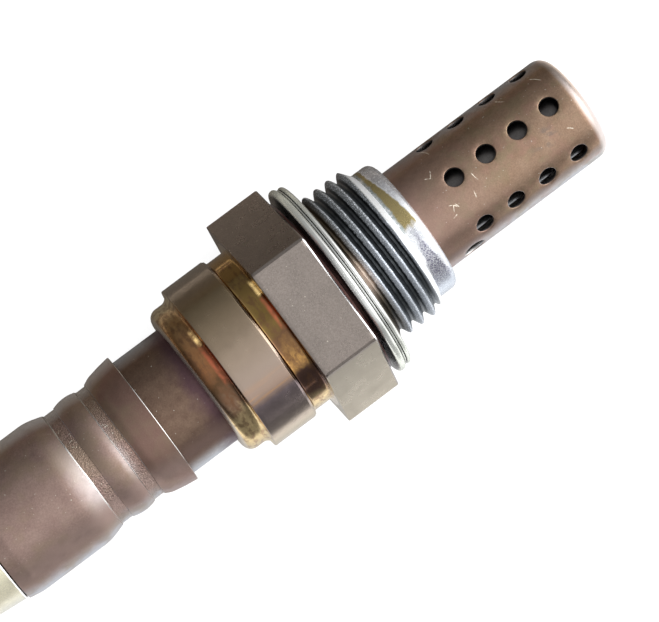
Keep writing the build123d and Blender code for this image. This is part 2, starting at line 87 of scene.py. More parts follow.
def rounded(*corners, steps=6):
    """The points of an (x, radius) line; a corner's third number is its rounding."""
    points = [np.array(corners[0][:2], float)]
    for before, corner, after in zip(corners, corners[1:], corners[2:]):
        here = np.array(corner[:2], float)
        if len(corner) == 2:
            points.append(here)
            continue
        one, two = (np.array(other[:2], float) - here for other in (before, after))
        one, two = one / np.hypot(*one), two / np.hypot(*two)
        half = math.acos(max(-1.0, min(1.0, float(one @ two)))) / 2
        middle = (one + two) / np.hypot(*(one + two))
        centre = here + middle * corner[2] / math.sin(half)
        start = here + one * corner[2] / math.tan(half) - centre
        end = here + two * corner[2] / math.tan(half) - centre
        first = math.atan2(start[1], start[0])
        sweep = (math.atan2(end[1], end[0]) - first + math.pi) % (2 * math.pi) - math.pi
        for step in range(steps + 1):
            angle = first + sweep * step / steps
            points.append(centre + corner[2] * np.array((math.cos(angle), math.sin(angle))))
    points.append(np.array(corners[-1][:2], float))
    return np.array(points)


def spaced(line, step):
    """The line with its long straight lengths divided."""
    points = [line[0]]
    for one, two in zip(line, line[1:]):
        count = max(1, round(float(np.hypot(*(two - one))) / step))
        points += [one + (two - one) * k / count for k in range(1, count + 1)]
    return np.array(points)


def turns(columns):
    """Even turns about the axis, in radians."""
    return np.arange(columns) * 2 * math.pi / columns


def place(x, r, turn):
    """Points on turned surfaces, in metres."""
    x, r, turn = np.broadcast_arrays(x, r, turn)
    return np.stack((x, -r * np.sin(turn), r * np.cos(turn)), axis=-1).reshape(-1, 3) * MM


def piece(name, points, faces, materials, nodes, shares=None, sharp=30):
    """Makes a closed mesh, paints it and lets it stand for its CAD nodes."""
    mesh = bpy.data.meshes.new(name)
    mesh.from_pydata(points.tolist(), [], faces)
    for material in materials:
        mesh.materials.append(material)
    if shares is not None:
        mesh.polygons.foreach_set("material_index", shares)
    shape = bpy.data.objects.new(name, mesh)
    bpy.context.scene.collection.objects.link(shape)
    weld(mesh)
    mesh.polygons.foreach_set("use_smooth", [True] * len(mesh.polygons))
    mesh.set_sharp_from_angle(angle=math.radians(sharp))
    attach(shape, "root")
    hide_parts(*nodes)


def weld(mesh):
    """Joins points that lie together and turns the faces outwards."""
    work = bmesh.new()
    work.from_mesh(mesh)
    bmesh.ops.remove_doubles(work, verts=work.verts, dist=1e-7)
    bmesh.ops.recalc_face_normals(work, faces=work.faces)
    work.to_mesh(mesh)
    work.free()


def grid_faces(rows, columns, closed):
    """The faces between the rows of a turned grid; a closed one joins its last row to its first."""
    faces = []
    for row in range(rows if closed else rows - 1):
        for column in range(columns):
            after, below = (column + 1) % columns, (row + 1) % rows
            faces.append((row * columns + column, row * columns + after,
                          below * columns + after, below * columns + column))
    return faces


def turned(name, line, columns, material, nodes, wobble=None, shares=None, sharp=30):
    """A piece turned from a closed (x, radius) line. The wobble changes x and r by place."""
    turn = turns(columns)
    x, r = (np.repeat(part[:, None], columns, axis=1) for part in (line[:, 0], line[:, 1]))
    if wobble:
        x, r = wobble(x, r, np.broadcast_to(turn, x.shape))
    materials = material if isinstance(material, list) else [material]
    if shares is not None:
        shares = np.repeat(shares, columns)
    faces = grid_faces(len(line), columns, True)
    piece(name, place(x, r, turn), faces, materials, nodes, shares, sharp)


# Paint

def colour(red, green, blue):
    """A shader colour from its values on a screen."""
    parts = [part / 255 for part in (red, green, blue)]
    return [part / 12.92 if part <= 0.04045 else ((part + 0.055) / 1.055) ** 2.4 for part in parts] + [1.0]


class Nodes:
    """A tree of shader nodes and short ways to fill it."""

    def __init__(self, owner):
        owner.use_nodes = True
        self.tree = owner.node_tree
        self.tree.nodes.clear()

    def add(self, kind, **values):
        """A new node; each value is a setting, or goes to the input of that name."""
        made = self.tree.nodes.new("ShaderNode" + kind)
        for key, value in values.items():
            if hasattr(made, key):
                setattr(made, key, value)
            else:
                self.feed(made.inputs[key.replace("_", " ")], value)
        return made

    def feed(self, socket, value):
        """Links or sets an input."""
        if isinstance(value, bpy.types.NodeSocket):
            self.tree.links.new(value, socket)
        else:
            socket.default_value = value

    def count(self, operation, *values):
        """A sum on numbers."""
        made = self.add("Math", operation=operation)
        for socket, value in zip(made.inputs, values):
            self.feed(socket, value)
        return made.outputs[0]

    def ramp(self, value, low, high, start=0.0, end=1.0):
        """The value brought from low..high to start..end."""
        made = self.add("MapRange", Value=value, From_Min=low, From_Max=high, To_Min=start, To_Max=end)
        return made.outputs[0]

    def levels(self, value, *stops):
        """A level for each value, from (value, level) stops; levels stay under one."""
        return self.hues(value, *((at, (level, level, level, 1.0)) for at, level in stops))

    def hues(self, value, *stops):
        """A colour for each value, from (value, colour) stops."""
        low, high = stops[0][0], stops[-1][0]
        made = self.add("ValToRGB", Fac=self.ramp(value, low, high))
        band = made.color_ramp
        for index, (at, tint) in enumerate(stops):
            spot = (at - low) / (high - low)
            stop = band.elements[index] if index < 2 else band.elements.new(spot)
            stop.position, stop.color = spot, tint
        return made.outputs[0]

    def blend(self, share, one, two, mode="MIX"):
        """Two colours blended."""
        made = self.add("Mix", data_type="RGBA", blend_type=mode)
        self.feed(made.inputs[0], share)
        self.feed(made.inputs[6], one)
        self.feed(made.inputs[7], two)
        return made.outputs[2]


class Paint(Nodes):
    """One material. Its places are in millimetres."""

    def __init__(self, name, tint=None, metallic=1.0, roughness=0.4):
        self.material = bpy.data.materials.new(name)
        super().__init__(self.material)
        self.shader = self.add("BsdfPrincipled", Metallic=metallic, Roughness=roughness)
        self.add("OutputMaterial", Surface=self.shader.outputs[0])
        if tint:
            self.shader.inputs["Base Color"].default_value = tint
        spot = self.add("TexCoord").outputs["Object"]
        self.spot = self.add("VectorMath", operation="SCALE", Vector=spot, Scale=1 / MM).outputs[0]
        parts = self.add("SeparateXYZ", Vector=self.spot).outputs
        self.x, self.y, self.z = parts[0], parts[1], parts[2]

    def set(self, **values):
        """Links or sets inputs of the surface shader."""
        for key, value in values.items():
            self.feed(self.shader.inputs[key.replace("_", " ")], value)

    def grain(self, size, detail=3.0, stretch=(1, 1, 1), seed=0.0):
        """Noise with lumps of a size in millimetres, about 0.5 on average."""
        scale = [part / size for part in stretch]
        spot = self.add("VectorMath", operation="MULTIPLY_ADD", Vector=self.spot)
        spot.inputs[1].default_value = scale
        spot.inputs[2].default_value = (seed, seed * 1.7, seed * 0.6)
        made = self.add("TexNoise", Vector=spot.outputs[0], Scale=1.0, Detail=detail, Roughness=0.6)
        return made.outputs[0]

    def bump(self, height, depth):
        """Fine relief; the depth is in millimetres."""
        made = self.add("Bump", Height=height, Distance=depth * MM, Strength=1.0)
        self.set(Normal=made.outputs[0])

    def turn(self):
        """The place round the axis, in degrees from the up side towards +Y."""
        angle = self.count("ARCTAN2", self.y, self.z)
        return self.count("MULTIPLY", angle, 180 / math.pi)

    def radius(self):
        """The distance from the axis."""
        upward = self.count("MULTIPLY", self.z, self.z)
        return self.count("SQRT", self.count("MULTIPLY_ADD", self.y, self.y, upward))

    def near(self, value, centre, width):
        """One at the centre, falling off to nothing at the width from it."""
        away = self.count("ABSOLUTE", self.count("SUBTRACT", value, centre))
        made = self.add("MapRange", interpolation_type="SMOOTHSTEP", Value=away,
                        From_Min=0.0, From_Max=width, To_Min=1.0, To_Max=0.0)
        return made.outputs[0]


def metal(name, light, dark, roughness, size=2.5, fine=0.14, depth=0.006, flecks=0.0, rim=0.35,
          speckle=0.1):
    """Bare or tinted metal: mottled, finely grained, with a painted pale bluish reflection at its rim and a
    few flecks.
    """
    paint = Paint(name)
    mottle = paint.ramp(paint.grain(size, 4), 0.3, 0.7)
    grit = paint.grain(fine, 2, seed=3)
    tone = paint.blend(mottle, light, dark)
    shine = paint.ramp(paint.grain(1.3 * fine, 1, seed=11), 0.25, 0.75, 1 - speckle, 1 + speckle)
    tone = paint.blend(1.0, tone, shine, "MULTIPLY")
    coarse = paint.ramp(paint.grain(0.4 * size, 3, seed=9), 0.3, 0.7, roughness - 0.06, roughness + 0.06)
    if flecks:
        fleck = paint.ramp(paint.grain(0.3, 1, seed=21), 0.75 - 0.05 * flecks, 0.78 - 0.05 * flecks)
        tone = paint.blend(fleck, tone, colour(225, 215, 200))
    # Painted reflection: pale bluish where the surface turns from view; rim sets how much.
    edge = paint.add("LayerWeight", Blend=0.5).outputs["Facing"]
    paint.tone = paint.blend(paint.ramp(edge, 0.42, 0.78, 0.0, rim), tone, colour(222, 230, 240))
    paint.set(Base_Color=paint.tone, Roughness=coarse)
    paint.bump(grit, depth)
    return paint


def scratches(paint, radius, *strokes):
    """Thin curved strokes, each from its place by x and turn, angle from the axis, length and bend."""
    half_width = 0.075
    turn, shown = paint.turn(), 0.0
    for x, at, angle, length, bend in strokes:
        away = paint.count("SUBTRACT", paint.x, x)
        sideways = paint.count("MULTIPLY", paint.count("SUBTRACT", turn, at), radius * math.pi / 180)
        cosine, sine = math.cos(math.radians(angle)), math.sin(math.radians(angle))
        ahead = paint.count("MULTIPLY_ADD", away, cosine, paint.count("MULTIPLY", sideways, sine))
        aside = paint.count("MULTIPLY_ADD", away, -sine, paint.count("MULTIPLY", sideways, cosine))
        aside = paint.count("MULTIPLY_ADD", paint.count("MULTIPLY", ahead, ahead), bend, aside)
        stroke = paint.count("MULTIPLY", paint.near(aside, 0.0, half_width),
                             paint.ramp(paint.near(ahead, 0.0, length / 2), 0.0, 0.25))
        shown = paint.count("MAXIMUM", shown, stroke)
    return paint.count("MULTIPLY", shown, paint.ramp(paint.grain(0.25, 2, seed=43), 0.35, 0.55, 0.25, 0.9))


def tinted(paint, share, tint):
    """Lays a tint over the paint's tone where the share says."""
    paint.tone = paint.blend(share, paint.tone, tint)
    paint.set(Base_Color=paint.tone)


def make_cover_brown():
    """Heat-browned steel: purple towards the collar, grey smudges, pale scratches, and painted light: a dark
    reflection low on the -Y side, a highlight on the tip's rounding, shade inside the holes, glints in the
    low ones.
    """
    paint = metal("cover_brown", colour(176, 148, 126), colour(160, 131, 109), 0.4, size=1.6, depth=0.014,
                  flecks=0.15, rim=0.75, speckle=0.13)
    tinted(paint, paint.ramp(paint.grain(2.2, 3, seed=61), 0.5, 0.62, 0.0, 0.4), colour(160, 146, 116))
    tinted(paint, paint.ramp(paint.grain(1.8, 3, seed=67), 0.52, 0.64, 0.0, 0.35), colour(178, 138, 124))
    edge = paint.count("ADD", paint.x, paint.ramp(paint.grain(3, 2), 0, 1, -3, 3))
    tinted(paint, paint.ramp(edge, 19, 9, 0.0, 0.55), colour(172, 142, 134))
    smudge = paint.count("MULTIPLY", paint.near(paint.x, 24.5, 2.6), paint.near(paint.y, -0.6, 1.6))
    patches = paint.ramp(paint.grain(0.9, 3, stretch=(0.6, 1, 1)), 0.5, 0.62, 0, 0.8)
    tinted(paint, paint.count("MULTIPLY", smudge, patches), colour(126, 118, 112))
    hairs = scratches(
        paint, COVER_R, (12.35, 31, -33, 0.85, 0.1), (12.85, 33, 58, 1.1, -0.2), (14.05, 61, -69, 1.7, 0.2),
        (23.4, 55, -53, 1.4, -0.15), (27.8, 50, -55, 1.7, 0.15), (12.75, -5, -40, 1.1, 0.4),
        (12.6, -8, 60, 0.9, 0.2), (12.3, -15, 15, 0.7, 0.0), (13.1, -7, -70, 0.7, 0.3),
        (15.3, -9, 80, 0.9, 0.1), (16.3, 5, 100, 1.2, 0.15), (27.4, -13, -40, 0.9, 0.3))
    tinted(paint, hairs, colour(240, 232, 214))
    paint.set(Metallic=paint.ramp(hairs, 0, 1, 1.0, 0.8))
    # Painted reflection: a dark band low on the -Y side.
    tinted(paint, paint.count("MULTIPLY", paint.near(paint.turn(), -56, 11), 0.4), colour(104, 94, 94))
    # Painted highlight on the tip's rounding.
    tinted(paint, paint.ramp(paint.x, 29.3, 29.8, 0.0, 0.75), colour(226, 216, 212))
    # Painted shade in the hole walls and inside the cup, with painted pale glints where they lie low on the
    # -Y side.
    wall = paint.count("MULTIPLY", paint.ramp(paint.radius(), 6.06, 6.02), paint.ramp(paint.x, 28.6, 28.4))
    low = paint.ramp(paint.turn(), -58, -66)
    tinted(paint, wall, paint.blend(low, colour(120, 116, 114), colour(216, 214, 212)))
    return paint


def make_collar_bright():
    """Pale steel: a painted straw-coloured reflection on the +Y side, lavender and finely pitted on the -Y
    side, with a painted pale blue reflection below.
    """
    paint = metal("collar_bright", colour(238, 238, 240), colour(196, 198, 202), 0.28, size=1.4, depth=0.004,
                  rim=0.4)
    paint.set(Metallic=0.85)
    edge = paint.count("ADD", paint.x, paint.ramp(paint.grain(1.2, 2), 0, 1, -0.25, 0.25))
    around = paint.count("ADD", paint.turn(), paint.ramp(paint.grain(1.5, 2, seed=19), 0, 1, -14, 14))
    upper = paint.ramp(around, -3, 4)
    # Painted reflection: a straw-coloured patch on the +Y side.
    limit = paint.count("SUBTRACT", edge, paint.ramp(paint.turn(), 10, 62, 8.5, 7.45))
    straw = paint.count("MULTIPLY", paint.ramp(edge, 6.8, 7.0), paint.ramp(limit, 0.06, -0.1))
    tinted(paint, paint.count("MULTIPLY", upper, straw), colour(146, 132, 92))
    patches = paint.ramp(paint.grain(0.3, 2, seed=7), 0.62, 0.5, 0.1, 0.8)
    grey = paint.count("MULTIPLY", paint.ramp(limit, 0.0, 0.2), patches)
    tinted(paint, paint.count("MULTIPLY", paint.ramp(paint.turn(), 16, 34), grey), colour(172, 171, 174))
    strip = paint.count("MULTIPLY", paint.ramp(edge, 7.12, 6.95), paint.ramp(around, -10, 4))
    strip = paint.count("MULTIPLY", strip, paint.ramp(paint.grain(0.35, 2, seed=27), 0.42, 0.6, 0.3, 0.9))
    tinted(paint, strip, colour(146, 154, 152))
    pits = paint.count("MULTIPLY", paint.ramp(around, 0, -8), paint.ramp(paint.turn(), -66, -50))
    wide = paint.count("SUBTRACT", paint.near(edge, 7.6, 1.6), paint.ramp(paint.turn(), -50, -8, 0.15, 0.88))
    pits = paint.count("MULTIPLY", pits, paint.ramp(wide, 0.0, 0.15))
    worn = paint.ramp(paint.grain(0.13, 2, seed=5), 0.4, 0.58, 0.2, 1.0)
    tinted(paint, paint.count("MULTIPLY", pits, worn), colour(112, 110, 128))
    # Painted reflection: pale blue low on the -Y side.
    tinted(paint, paint.ramp(paint.turn(), -40, -60, 0.0, 0.6), colour(196, 206, 220))
    height = paint.count("MULTIPLY", paint.grain(0.22, 3, seed=6), paint.ramp(pits, 0, 1, 0.15, 1))
    paint.bump(height, 0.04)
    return paint


def make_thread_graphite():
    """Graphite grey; silver worn on the crests and painted as light on the flanks facing -X, dimmer on the +Y
    side, with painted glints; straw by the gasket with a painted pale highlight; pale at the collar.
    """
    paint = metal("thread_graphite", colour(90, 93, 95), colour(62, 66, 68), 0.42, size=0.6, rim=0.2)
    # Silver is worn on the crests and painted as light on the flanks facing -X; the roots keep the dark base
    # as painted shade.
    facing = paint.add("SeparateXYZ", Vector=paint.add("NewGeometry").outputs["Normal"]).outputs[0]
    height = paint.count("SUBTRACT", paint.radius(), paint.count("MULTIPLY", facing, 0.42))
    height = paint.count("ADD", height, paint.ramp(paint.grain(0.25, 3, seed=2), 0.25, 0.75, -0.13, 0.13))
    worn = paint.ramp(height, 8.66, 8.86)
    worn = paint.count("MAXIMUM", worn, paint.ramp(paint.x, 5.75, 6.0))
    # Painted shade: the silver is dimmer on the +Y side.
    low = paint.ramp(paint.turn(), 34, -8)
    tinted(paint, worn, paint.blend(low, colour(132, 136, 138), colour(182, 188, 197)))
    # Painted glints on the silver.
    sparkle = paint.count("MULTIPLY", paint.ramp(paint.grain(0.13, 1, seed=8), 0.5, 0.62), worn)
    tinted(paint, sparkle, colour(232, 237, 244))
    tinted(paint, paint.ramp(paint.x, 5.85, 6.1), colour(236, 238, 240))
    edge = paint.count("ADD", paint.x, paint.ramp(paint.grain(1.6, 2), 0, 1, -0.3, 0.3))
    straw = paint.ramp(edge, 1.35, 0.9, 0, 0.8)
    # Painted highlight: pale in the middle of the straw band.
    pale = paint.near(paint.turn(), -7, 26)
    tinted(paint, straw, paint.blend(pale, colour(118, 104, 84), colour(218, 196, 178)))
    loss = paint.count("MULTIPLY", paint.count("MULTIPLY", straw, pale), -0.35)
    metallic = paint.count("ADD", loss, paint.ramp(worn, 0, 1, 1.0, 0.8))
    paint.set(Metallic=metallic, Roughness=paint.ramp(worn, 0, 1, 0.4, 0.5))
    paint.bump(paint.grain(0.18, 3, seed=4), 0.035)
    return paint


def make_hex_satin():
    """Satin steel, painted a little lighter and yellower on the flats that lean to the -Y side, where the
    light falls.
    """
    paint = metal("hex_satin", colour(166, 154, 146), colour(157, 146, 138), 0.3, size=5, fine=0.11,
                  depth=0.012, flecks=0.1, rim=0.1, speckle=0.16)
    # Painted light on the flats that lean to the -Y side.
    tinted(paint, paint.ramp(paint.turn(), -31, -33, 0.0, 0.8), colour(182, 173, 155))
    return paint


def make_hex_edge():
    """The hexagon's front edge, with a painted white highlight along the top flat alone."""
    paint = metal("hex_edge_highlight", colour(160, 149, 142), colour(152, 142, 135), 0.3, rim=0.15)
    ragged = paint.ramp(paint.grain(0.3), 0, 1, -3, 3)
    worn = paint.count("ADD", paint.count("ABSOLUTE", paint.turn()), ragged)
    # Painted highlight: white along the top flat's edge.
    tinted(paint, paint.ramp(worn, 32, 29), colour(254, 252, 252))
    return paint


def make_band_satin():
    """Straw-toned satin steel with painted reflections by turn: on the -Y side warm, then purplish grey, then
    straw again, with warm highlight streaks.
    """
    paint = metal("band_satin", colour(186, 166, 148), colour(178, 158, 140), 0.22, depth=0.004, rim=0.25,
                  speckle=0.06)
    ragged = paint.ramp(paint.grain(1.2, 2, stretch=(0.3, 1, 1)), 0, 1, -4, 4)
    around = paint.count("ADD", paint.turn(), ragged)
    # Painted reflections: the hues follow the turn about the axis.
    reflection_hues = paint.hues(
        around, (-70, colour(196, 182, 156)), (-48, colour(170, 156, 152)), (-31, colour(172, 154, 160)),
        (-26, colour(190, 160, 142)), (-12, colour(188, 168, 153)), (46, colour(188, 164, 126)),
        (64, colour(176, 166, 154)))
    tinted(paint, 0.85, reflection_hues)
    # Painted highlight: warm streaks near turn -23.
    warm_highlight_streaks = paint.ramp(paint.grain(0.5, 2, stretch=(0.05, 1, 1), seed=23), 0.45, 0.6)
    warm_highlight_streaks = paint.count("MULTIPLY", warm_highlight_streaks, paint.near(paint.turn(), -23, 9))
    tinted(paint, paint.count("MULTIPLY", warm_highlight_streaks, 0.75), colour(218, 172, 130))
    return paint


def make_chromate(name, roughness, corner, low, high, *reflection_hues):
    """Polished straw-gold film, with painted reflections by turn. Its corner carries a painted coral
    reflection from low to high, then painted glints.
    """
    paint = metal(name, colour(172, 138, 78), colour(158, 118, 62), roughness, depth=0.001, rim=0.4,
                  speckle=0.04)
    ragged = paint.ramp(paint.grain(1.6, 3, stretch=(0.8, 1, 1)), 0, 1, -15, 15)
    around = paint.count("ADD", paint.turn(), ragged)
    # Painted reflections: tints by turn about the axis.
    tinted(paint, 0.92, paint.hues(around, *reflection_hues))
    bloom = paint.ramp(paint.grain(0.8, 3, stretch=(1.4, 0.7, 0.7), seed=14), 0.48, 0.62, 0.0, 0.6)
    tinted(paint, bloom, colour(136, 100, 76))
    patches = paint.ramp(paint.grain(0.6, 3, stretch=(1.5, 0.6, 0.6), seed=33), 0.46, 0.58, 0.0, 0.6)
    tinted(paint, paint.count("MULTIPLY", paint.near(around, -17, 13), patches), colour(120, 84, 60))
    # Painted reflection of the face beside the corner: coral from low to high.
    side = paint.near(paint.x, corner, 0.6)
    span = paint.count("MULTIPLY", paint.ramp(around, low - 8, low), paint.ramp(around, high + 6, high))
    mottle = paint.ramp(paint.grain(0.8, 2, stretch=(1, 0.5, 0.5), seed=17), 0.35, 0.6, 0.2, 0.85)
    share = paint.count("MULTIPLY", paint.count("MULTIPLY", paint.ramp(side, 0.1, 0.8), span), mottle)
    tinted(paint, share, colour(250, 140, 104))
    # Painted glints past the coral.
    glint = paint.count("MULTIPLY", paint.ramp(side, 0.4, 1.0), paint.near(around, high + 12, 8))
    tinted(paint, glint, colour(255, 220, 150))
    metallic = paint.count("ADD", paint.count("MULTIPLY", glint, -0.4), 1.0)
    lip = paint.ramp(paint.x, HOUSING_REAR_X + 0.34, HOUSING_REAR_X + 0.16, 0.0, 0.85)
    tinted(paint, lip, colour(222, 214, 204))
    paint.set(Roughness=paint.ramp(lip, 0.0, 0.85, roughness, 0.42), Metallic=metallic)
    return paint


def make_air_tube_brown():
    """Dark browned steel, purple by the rolled end, with a painted pale highlight streak on the -Y side."""
    paint = metal("air_tube_brown", colour(141, 117, 100), colour(125, 101, 87), 0.45, size=0.9, depth=0.012,
                  flecks=0.1, rim=0.75)
    edge = paint.count("ADD", paint.x, paint.ramp(paint.grain(2, 2), 0, 1, -1.2, 1.2))
    tinted(paint, paint.ramp(edge, -21.6, -19.8, 0, 0.8), colour(98, 72, 82))
    # Painted highlight: a paler streak on the -Y side.
    tinted(paint, paint.count("MULTIPLY", paint.near(paint.turn(), -43, 17), 0.8), colour(166, 138, 128))
    return paint


def make_sleeve_brown(name="sleeve_brown", depth=0.012, roughness=0.48, speckle=0.12, flecks=0.15):
    """Browned satin steel: redder at the lip, olive clouds, and painted light: highlights at the shoulder and
    bead by the grooves and on the -Y side, a pale reflection along the +Y rim.
    """
    paint = metal(name, colour(178, 152, 141), colour(165, 138, 129), roughness, size=2, depth=depth,
                  flecks=flecks, rim=0.75, speckle=speckle)
    tinted(paint, paint.ramp(paint.x, -29.0, -28.6, 0.0, 0.7), colour(156, 122, 108))
    tinted(paint, paint.ramp(paint.grain(4, 3, seed=51), 0.45, 0.6, 0.0, 0.5), colour(166, 146, 122))
    edge = paint.count("ADD", paint.x, paint.ramp(paint.grain(0.8, 2), 0, 1, -0.3, 0.3))
    # Painted highlight at the shoulder and bead by the grooves.
    shoulder = paint.count("MULTIPLY", paint.ramp(edge, -36.3, -34.2), paint.ramp(paint.x, -33.96, -34.04))
    shoulder = paint.count("MULTIPLY", shoulder, paint.near(paint.turn(), -10, 58))
    bead = paint.count("MULTIPLY", paint.near(edge, -29.95, 0.9), paint.near(paint.turn(), -10, 46))
    shoulder_bead_highlight = paint.count("MULTIPLY_ADD", shoulder, 0.62, paint.count("MULTIPLY", bead, 0.35))
    tinted(paint, shoulder_bead_highlight, colour(236, 228, 226))
    # Painted highlight: a pale streak on the -Y side.
    tinted(paint, paint.count("MULTIPLY", paint.near(paint.turn(), -43, 20), 0.85), colour(206, 178, 168))
    # Painted reflection: pale along the +Y rim.
    tinted(paint, paint.ramp(paint.turn(), 60, 78, 0.0, 0.8), colour(240, 236, 234))
    return paint


def make_highlit_edge():
    """Crisp rolled edges, painted bright as a highlight that darkens towards their sides."""
    paint = metal("edge_highlight", colour(242, 239, 236), colour(214, 210, 205), 0.22, rim=0.1)
    # Painted shade: the highlight darkens towards the sides.
    tinted(paint, paint.ramp(paint.turn(), -30, -44, 0.0, 0.9), colour(152, 132, 124))
    tinted(paint, paint.ramp(paint.turn(), 50, 74, 0.0, 0.4), colour(152, 132, 124))
    return paint


def make_rear_bright():
    """Pale straw-tinted steel, with a painted white highlight along its front edge and a painted shadow in
    the gap before it.
    """
    paint = metal("rear_bright", colour(240, 234, 206), colour(222, 215, 192), 0.4, depth=0.002)
    # Painted highlight along the front edge.
    worn = paint.count("MULTIPLY", paint.ramp(paint.x, -46.54, -46.48), paint.ramp(paint.x, -46.34, -46.38))
    tinted(paint, worn, colour(250, 250, 250))
    # Painted shadow in the gap before the rim.
    tinted(paint, paint.ramp(paint.x, -46.36, -46.33), colour(30, 28, 28))
    paint.set(Metallic=paint.ramp(worn, 0, 1, 0.84, 0.5))
    return paint


def make_gasket_bright():
    """Painted bright strip on top, duller to the sides where less light falls; painted shade darkens the
    grooves between its folds and its front face.
    """
    paint = metal("gasket_bright", colour(248, 247, 244), colour(232, 232, 228), 0.26, depth=0.001, rim=0.1,
                  speckle=0.03)
    # Painted light: bright on top, duller to the sides.
    sides = paint.ramp(paint.count("ABSOLUTE", paint.turn()), 22, 62)
    paint.set(Metallic=paint.ramp(sides, 0, 1, 0.97, 0.8))
    tinted(paint, sides, colour(216, 220, 210))
    # Painted shade in the grooves and on the front face.
    tinted(paint, paint.ramp(paint.radius(), 11.34, 11.26), colour(164, 166, 162))
    tinted(paint, paint.ramp(paint.radius(), 11.22, 11.14), colour(76, 78, 76))
    return paint


def make_rubber_black():
    """Matt black rubber."""
    paint = Paint("grommet_rubber_black", metallic=0.0, roughness=0.62)
    paint.set(Base_Color=paint.blend(paint.grain(1.5), colour(24, 24, 25), colour(42, 41, 40)))
    paint.bump(paint.grain(0.15, seed=5), 0.01)
    return paint


def make_plain(name, tone, metallic, roughness):
    """A faintly mottled material for a piece that is out of sight."""
    paint = Paint(name, tone, metallic, roughness)
    shade = [0.8 * part for part in tone[:3]] + [1.0]
    paint.set(Base_Color=paint.blend(paint.grain(1.2, 4), tone, shade))
    paint.bump(paint.grain(0.2, seed=4), 0.006)
    return paint


paints = {
    "cover": make_cover_brown(),
    "inner_cover": metal("inner_cover_grey", colour(108, 105, 102), colour(84, 80, 80), 0.35),
    "collar": make_collar_bright(),
    "thread": make_thread_graphite(),
    "washer_face": metal("washer_face", colour(132, 98, 90), colour(96, 70, 68), 0.5),
    "hex": make_hex_satin(),
    "hex_edge": make_hex_edge(),
    "edge": make_highlit_edge(),
    "neck": make_chromate(
        "neck_gold", 0.13, HEX_REAR_X - 0.25, 2, 22, (-66, colour(224, 198, 146)),
        (-46, colour(106, 80, 76)), (-31, colour(106, 80, 76)), (-23, colour(208, 160, 98)),
        (-6, colour(126, 94, 72)), (12, colour(150, 124, 72)), (50, colour(188, 154, 98))),
    "rolled": make_chromate(
        "rolled_gold", 0.24, BAND_REAR_X - 0.45, -5, 18, (-62, colour(216, 192, 142)),
        (-36, colour(255, 226, 172)), (-22, colour(140, 112, 94)), (-6, colour(104, 78, 58)),
        (12, colour(178, 122, 84)), (48, colour(206, 164, 116)), (72, colour(240, 224, 186))),
    "band": make_band_satin(),
    "gasket": make_gasket_bright(),
    "air_tube": make_air_tube_brown(),
    "sleeve": make_sleeve_brown(),
    "groove": make_sleeve_brown("sleeve_groove", depth=0.1, roughness=0.38, speckle=0.32, flecks=1.3),
    "rear": make_rear_bright(),
    "rubber": make_rubber_black(),
    "bore": metal("bore_dark", colour(92, 88, 84), colour(62, 58, 56), 0.5),
}


def dress_nodes():
    """Gives the CAD pieces their materials."""
    steatite = make_plain("insulator_steatite", colour(232, 226, 212), 0.0, 0.5)
    packing = make_plain("packing_metal", colour(150, 150, 150), 1.0, 0.4)
    alloy = make_plain("contact_alloy", colour(196, 188, 170), 1.0, 0.3)
    dress = {
        "sensing_element": make_plain("zirconia_white", colour(226, 222, 210), 0.0, 0.45),
        "heater_rod": make_plain("heater_alumina", colour(214, 214, 210), 0.0, 0.5),
        "talc_seal": make_plain("talc_grey", colour(180, 176, 168), 0.0, 0.9),
        "breather_filter": make_plain("filter_white", colour(222, 222, 218), 0.0, 0.7),
        "lead_grommet": paints["rubber"],
        **dict.fromkeys(("seat_washer", "crimp_ring"), packing),
        **dict.fromkeys(("terminal_insulator", "pressure_sleeve"), steatite),
        **dict.fromkeys(("insulator_spring", "signal_contact", "ground_contact"), alloy),
        **dict.fromkeys(("heater_contact_1", "heater_contact_2"), alloy),
        **{f"lead_terminal_{lead}": alloy for lead in range(1, 5)},
    }
    for name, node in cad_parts.items():
        node.data.materials[0] = dress.get(name, paints["inner_cover"]).material


dress_nodes()


# Housing

def thread_height(x, turn):
    """The radius of the screw thread: rounded crests and roots, chamfered down to the collar."""
    along = ((x + THREAD_PHASE) / THREAD_PITCH - turn / (2 * math.pi)) % 1.0
    slope = np.clip((np.abs(along - 0.5) * THREAD_PITCH - CREST_HALF) / FLANK_WIDTH, 0, 1)
    slope = 0.5 * slope + 0.5 * slope * slope * (3 - 2 * slope)
    chamfer = COLLAR_R + 0.02 + 1.25 * (COLLAR_REAR_X - x)
    return np.minimum(THREAD_R - THREAD_DEPTH * slope, chamfer)


